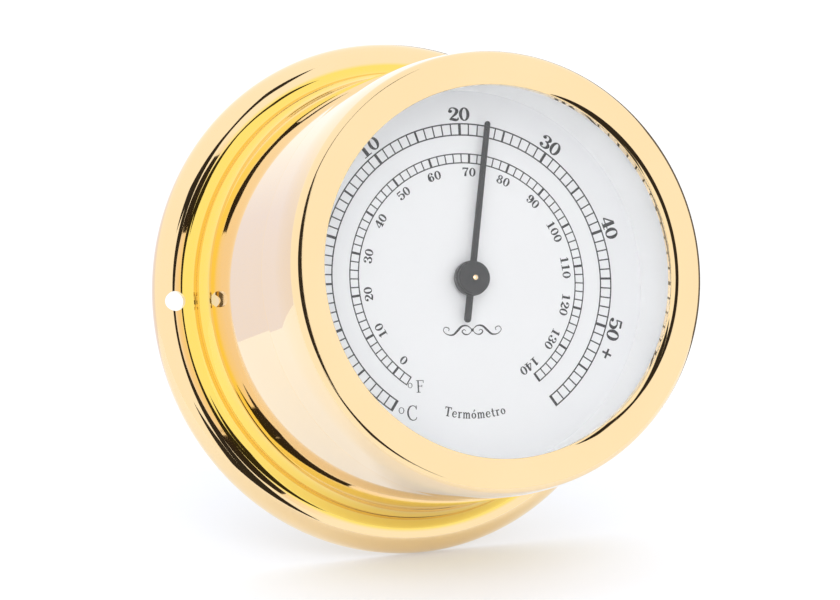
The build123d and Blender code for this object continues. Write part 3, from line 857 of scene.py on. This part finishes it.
def spread(tree, value, low, high, start=NOISE_LOW, end=NOISE_HIGH):
    """Maps a texture's value from start and end on to low and high."""
    node = tree.nodes.new("ShaderNodeMapRange")
    node.inputs["From Min"].default_value = start
    node.inputs["From Max"].default_value = end
    node.inputs["To Min"].default_value = low
    node.inputs["To Max"].default_value = high
    tree.links.new(value, node.inputs["Value"])
    return node.outputs["Result"]


def two_tones(tree, value, first, second):
    ramp = tree.nodes.new("ShaderNodeValToRGB")
    low, high = ramp.color_ramp.elements
    low.position, low.color = NOISE_LOW, (*first, 1)
    high.position, high.color = NOISE_HIGH, (*second, 1)
    tree.links.new(value, ramp.inputs["Fac"])
    return ramp.outputs["Color"]


def bump(tree, shader, height, distance):
    node = tree.nodes.new("ShaderNodeBump")
    node.inputs["Strength"].default_value = 1.0
    node.inputs["Distance"].default_value = distance
    tree.links.new(height, node.inputs["Height"])
    tree.links.new(node.outputs["Normal"], shader.inputs["Normal"])


def brass(name, first, second, roughness, coat, grain):
    """Brass that varies a little in colour, gloss and surface; roughness is (low, high), grain in mm."""
    mat, tree, shader, coords = material(name, Metallic=1.0, Coat_Weight=coat, Coat_Roughness=0.02)
    tone = two_tones(tree, noise(tree, coords, 40), first, second)
    tree.links.new(tone, shader.inputs["Base Color"])
    tree.links.new(spread(tree, noise(tree, coords, 900, 4), *roughness), shader.inputs["Roughness"])
    bump(tree, shader, noise(tree, coords, 160, 3), grain * MM)
    return mat


def math_node(tree, kind, operation, first):
    node = tree.nodes.new(kind)
    node.operation = operation
    tree.links.new(first, node.inputs[0])
    return node


def deepen(mat, gold, depths, radii):
    """A painted reflection: another gold near the wall and the axis; it fades out across each of these
    spans, in metres.
    """
    tree = mat.node_tree
    base = tree.nodes["Principled BSDF"].inputs["Base Color"]
    own_colour = base.links[0].from_socket
    coords = tree.nodes.new("ShaderNodeTexCoord").outputs["Object"]
    parts = tree.nodes.new("ShaderNodeSeparateXYZ")
    tree.links.new(coords, parts.inputs[0])
    across = math_node(tree, "ShaderNodeVectorMath", "MULTIPLY", coords)
    across.inputs[1].default_value = (1, 0, 1)
    radius = math_node(tree, "ShaderNodeVectorMath", "LENGTH", across.outputs["Vector"])
    behind = spread(tree, parts.outputs["Y"], 0.0, 1.0, *depths)
    inside = spread(tree, radius.outputs["Value"], 1.0, 0.0, *radii)
    both = math_node(tree, "ShaderNodeMath", "MULTIPLY", behind)
    tree.links.new(inside, both.inputs[1])
    tint = tree.nodes.new("ShaderNodeMix")
    tint.data_type = "RGBA"
    factor, own, deep = tint.inputs["Factor"], tint.inputs[6], tint.inputs[7]
    deep.default_value = (*gold, 1)
    tree.links.new(both.outputs["Value"], factor)
    tree.links.new(own_colour, own)
    tree.links.new(tint.outputs[2], base)


polished = brass("polished_brass", (0.905, 0.675, 0.36), (0.925, 0.7, 0.39), (0.02, 0.045), 1.0, 0.0006)
# a look and not a fact: painted reflection, a deeper gold in the hollow and the cove, where the brass
# mirrors itself
deepen(polished, (0.945, 0.67, 0.1), depths=(-0.018, -0.0135), radii=(0.0431, 0.0437))
case.data.materials.append(polished)
bezel.data.materials.append(polished)
plain = brass("plain_brass", (0.78, 0.6, 0.3), (0.84, 0.66, 0.34), (0.2, 0.32), 0.0, 0.004)
tip_brass = brass("tip_brass", (0.9, 0.68, 0.4), (0.93, 0.72, 0.44), (0.12, 0.2), 0.0, 0.002)


GRAIN_SCALE = 900


def mottled(name, first, second, roughness, scale=300, grain=0.0, **values):
    """A surface whose colour and gloss vary a little; grain is the height of its texture in millimetres."""
    mat, tree, shader, coords = material(name, **values)
    tree.links.new(two_tones(tree, noise(tree, coords, scale), first, second), shader.inputs["Base Color"])
    tree.links.new(spread(tree, noise(tree, coords, scale * 2, 3), *roughness), shader.inputs["Roughness"])
    if grain:
        bump(tree, shader, noise(tree, coords, GRAIN_SCALE, 3), grain * MM)
    return mat


steel = mottled("bright_steel", (0.56, 0.56, 0.57), (0.66, 0.66, 0.67), (0.18, 0.3), Metallic=1.0)
bimetal = mottled("bimetal_strip", (0.6, 0.53, 0.42), (0.68, 0.61, 0.51), (0.28, 0.42), Metallic=1.0)
rubber = mottled("black_rubber", (0.02, 0.02, 0.02), (0.032, 0.032, 0.033), (0.7, 0.85), grain=0.01)
satin = mottled(
    "pointer_satin", (0.018, 0.019, 0.022), (0.024, 0.025, 0.029), (0.36, 0.46), 500,
    grain=0.0015, Specular_IOR_Level=0.4,
)
dial_white = mottled(
    "dial_white", (0.875, 0.885, 0.905), (0.885, 0.894, 0.913), (0.4, 0.5), 60, grain=0.0008
)
print_ink = mottled(
    "print_ink", (0.016, 0.017, 0.021), (0.022, 0.023, 0.028), (0.4, 0.55), 700, Specular_IOR_Level=0.3
)
# painted light: a faint glow in the white paint lifts the shaded side of the spacer ring
white_paint = mottled(
    "white_paint", (0.93, 0.935, 0.945), (0.94, 0.945, 0.95), (0.42, 0.52), 80, grain=0.001,
    Emission_Color=(0.96, 0.98, 1, 1), Emission_Strength=0.1,
)

clear, tree, shader, coords = material(
    "clear_glass", Base_Color=(1, 1, 1, 1), IOR=1.45, Transmission_Weight=1.0
)
tree.links.new(spread(tree, noise(tree, coords, 50), 0.0, 0.004), shader.inputs["Roughness"])

FINISHES = {
    "glass": clear,
    "glass_gasket": rubber,
    "spacer_ring": white_paint,
    "dial": dial_white,
    "case_shell": polished,
    "bezel": polished,
    "dial_seat_ring": plain,
    "dial_feet": plain,
    "dial_foot_nuts": plain,
    "front_plate": plain,
    "rear_plate": plain,
    "movement_pillars": plain,
    "pillar_screws": steel,
    "front_bush": plain,
    "rear_bush": plain,
    "adjuster_clip": steel,
    "adjuster_arm": steel,
    "coil_stud": plain,
    "bimetal_coil": bimetal,
    "arbor": tip_brass,
    "coil_collet": plain,
    "thrust_collar": plain,
    "pointer_hub": plain,
    "pointer": satin,
    "pointer_cap": satin,
    "back_ring": plain,
    "back_cover": plain,
    "back_cover_screws": steel,
}
for node, mat in FINISHES.items():
    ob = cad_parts[node]
    for slot in ob.material_slots:
        slot.material = mat
    if not ob.material_slots:
        ob.data.materials.append(mat)
dial_print.data.materials.append(print_ink)
for piece in (pointer_disc, pointer_needle, pointer_cap):
    piece.data.materials.append(satin)
arbor.data.materials.append(tip_brass)

low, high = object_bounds()
